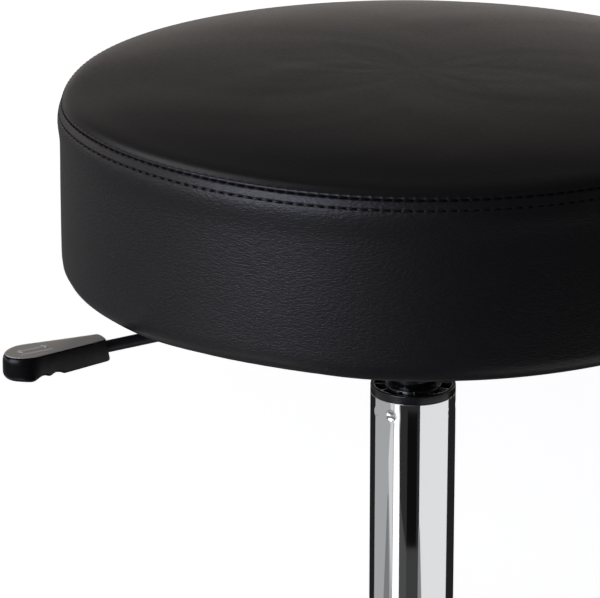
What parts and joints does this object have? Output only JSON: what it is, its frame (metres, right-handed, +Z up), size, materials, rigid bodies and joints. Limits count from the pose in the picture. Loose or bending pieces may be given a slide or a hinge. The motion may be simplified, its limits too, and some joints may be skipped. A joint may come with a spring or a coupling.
{
  "type": "medical stool",
  "caption": "Round padded stool on a gas lift with a release lever, a five-star base and twin-wheel casters.",
  "frame": {"origin": "on the floor, where the column's axis meets it", "axes": "+Z up along the column; the release lever points along -X; the first base leg points along +Y"},
  "size_m": [0.6822, 0.6488, 0.533],
  "materials": {
    "black_vinyl": "fine-grained black vinyl, semi-matt",
    "foam": "open-cell polyurethane foam",
    "plywood": "birch plywood",
    "black_fabric": "black non-woven cloth",
    "black_steel": "black powder-coated steel",
    "zinc_steel": "zinc-plated steel",
    "chrome": "polished chrome plate",
    "black_plastic": "black nylon, semi-matt",
    "gloss_black_plastic": "glossy black plastic",
    "grip_foil": "warm grey metallic foil",
    "gloss_black_metal": "black gloss paint",
    "brass": "turned brass",
    "rubber": "black rubber",
    "sintered_steel": "sintered steel",
    "wheel_plastic": "black nylon wheel"
  },
  "bodies": {
    "base": {"outer_tube": "chrome", "tube_bottom_plate": "zinc_steel", "bearing_lower_washer": "zinc_steel", "bearing_balls": "zinc_steel", "guide_bush": "black_plastic", "base_hub": "chrome", "caster_stems": "zinc_steel", "base_leg_1": "chrome", "base_leg_2": "chrome", "base_leg_3": "chrome", "base_leg_4": "chrome", "base_leg_5": "chrome"},
    "lift_rod": {"piston_rod": "zinc_steel", "piston": "sintered_steel", "bump_stop": "rubber", "bearing_upper_washer": "zinc_steel", "retaining_clip": "zinc_steel"},
    "seat": {"seat_top_cover": "black_vinyl", "seat_side_band": "black_vinyl", "seat_foam": "foam", "seat_board": "plywood", "tee_nuts": "zinc_steel", "dust_cover": "black_fabric", "cover_staples": "zinc_steel", "seat_plate": "black_steel", "plate_screws": "zinc_steel", "plate_washers": "zinc_steel", "lever_cradle": "black_steel", "taper_socket": "black_steel", "lever_pivot_pin": "zinc_steel", "pivot_clip": "zinc_steel", "inner_cylinder": "gloss_black_metal", "valve_body": "brass", "cylinder_end_cap": "sintered_steel"},
    "lever": {"lever_rod": "black_steel", "lever_grip": "gloss_black_plastic", "grip_inlay": "grip_foil"},
    "release_button": {"valve_button": "zinc_steel"},
    "caster_1": {"caster_hood_1": "black_plastic", "caster_axle_1": "zinc_steel"},
    "left_wheel_1": {"wheel_left_1": "wheel_plastic"},
    "right_wheel_1": {"wheel_right_1": "wheel_plastic"},
    "caster_2": {"caster_hood_2": "black_plastic", "caster_axle_2": "zinc_steel"},
    "left_wheel_2": {"wheel_left_2": "wheel_plastic"},
    "right_wheel_2": {"wheel_right_2": "wheel_plastic"},
    "caster_3": {"caster_hood_3": "black_plastic", "caster_axle_3": "zinc_steel"},
    "left_wheel_3": {"wheel_left_3": "wheel_plastic"},
    "right_wheel_3": {"wheel_right_3": "wheel_plastic"},
    "caster_4": {"caster_hood_4": "black_plastic", "caster_axle_4": "zinc_steel"},
    "left_wheel_4": {"wheel_left_4": "wheel_plastic"},
    "right_wheel_4": {"wheel_right_4": "wheel_plastic"},
    "caster_5": {"caster_hood_5": "black_plastic", "caster_axle_5": "zinc_steel"},
    "left_wheel_5": {"wheel_left_5": "wheel_plastic"},
    "right_wheel_5": {"wheel_right_5": "wheel_plastic"}
  },
  "joints": [
    {"name": "seat_swivel", "type": "hinge", "parent": "base", "child": "lift_rod", "pos_m": [0, 0, 0.2], "axis": [0, 0, 1], "continuous": true},
    {"name": "height_lift", "type": "slide", "parent": "lift_rod", "child": "seat", "axis": [0, 0, 1], "range_m": [0, 0.15]},
    {"name": "lever_lift", "type": "hinge", "parent": "seat", "child": "lever", "pos_m": [-0.06, 0, 0.4054], "axis": [0, 1, 0], "range_deg": [0, 2.8]},
    {"name": "button_press", "type": "slide", "parent": "seat", "child": "release_button", "axis": [0, 0, 1], "range_m": [-0.003, 0]},
    {"name": "caster_swivel_1", "type": "hinge", "parent": "base", "child": "caster_1", "pos_m": [0, 0.302, 0.04], "axis": [0, 0, 1], "continuous": true},
    {"name": "left_wheel_spin_1", "type": "hinge", "parent": "caster_1", "child": "left_wheel_1", "pos_m": [0, 0.322, 0.025], "axis": [-1, 0, 0], "continuous": true},
    {"name": "right_wheel_spin_1", "type": "hinge", "parent": "caster_1", "child": "right_wheel_1", "pos_m": [0, 0.322, 0.025], "axis": [-1, 0, 0], "continuous": true},
    {"name": "caster_swivel_2", "type": "hinge", "parent": "base", "child": "caster_2", "pos_m": [-0.28722, 0.09332, 0.04], "axis": [0, 0, 1], "continuous": true},
    {"name": "left_wheel_spin_2", "type": "hinge", "parent": "caster_2", "child": "left_wheel_2", "pos_m": [-0.30624, 0.0995, 0.025], "axis": [-0.309, -0.9511, 0], "continuous": true},
    {"name": "right_wheel_spin_2", "type": "hinge", "parent": "caster_2", "child": "right_wheel_2", "pos_m": [-0.30624, 0.0995, 0.025], "axis": [-0.309, -0.9511, 0], "continuous": true},
    {"name": "caster_swivel_3", "type": "hinge", "parent": "base", "child": "caster_3", "pos_m": [-0.17751, -0.24432, 0.04], "axis": [0, 0, 1], "continuous": true},
    {"name": "left_wheel_spin_3", "type": "hinge", "parent": "caster_3", "child": "left_wheel_3", "pos_m": [-0.18927, -0.2605, 0.025], "axis": [0.809, -0.5878, 0], "continuous": true},
    {"name": "right_wheel_spin_3", "type": "hinge", "parent": "caster_3", "child": "right_wheel_3", "pos_m": [-0.18927, -0.2605, 0.025], "axis": [0.809, -0.5878, 0], "continuous": true},
    {"name": "caster_swivel_4", "type": "hinge", "parent": "base", "child": "caster_4", "pos_m": [0.17751, -0.24432, 0.04], "axis": [0, 0, 1], "continuous": true},
    {"name": "left_wheel_spin_4", "type": "hinge", "parent": "caster_4", "child": "left_wheel_4", "pos_m": [0.18927, -0.2605, 0.025], "axis": [0.809, 0.5878, 0], "continuous": true},
    {"name": "right_wheel_spin_4", "type": "hinge", "parent": "caster_4", "child": "right_wheel_4", "pos_m": [0.18927, -0.2605, 0.025], "axis": [0.809, 0.5878, 0], "continuous": true},
    {"name": "caster_swivel_5", "type": "hinge", "parent": "base", "child": "caster_5", "pos_m": [0.28722, 0.09332, 0.04], "axis": [0, 0, 1], "continuous": true},
    {"name": "left_wheel_spin_5", "type": "hinge", "parent": "caster_5", "child": "left_wheel_5", "pos_m": [0.30624, 0.0995, 0.025], "axis": [-0.309, 0.9511, 0], "continuous": true},
    {"name": "right_wheel_spin_5", "type": "hinge", "parent": "caster_5", "child": "right_wheel_5", "pos_m": [0.30624, 0.0995, 0.025], "axis": [-0.309, 0.9511, 0], "continuous": true}
  ],
  "couplings": [
    {"joint": "button_press", "follows": "lever_lift", "m_per_rad": -0.06}
  ]
}
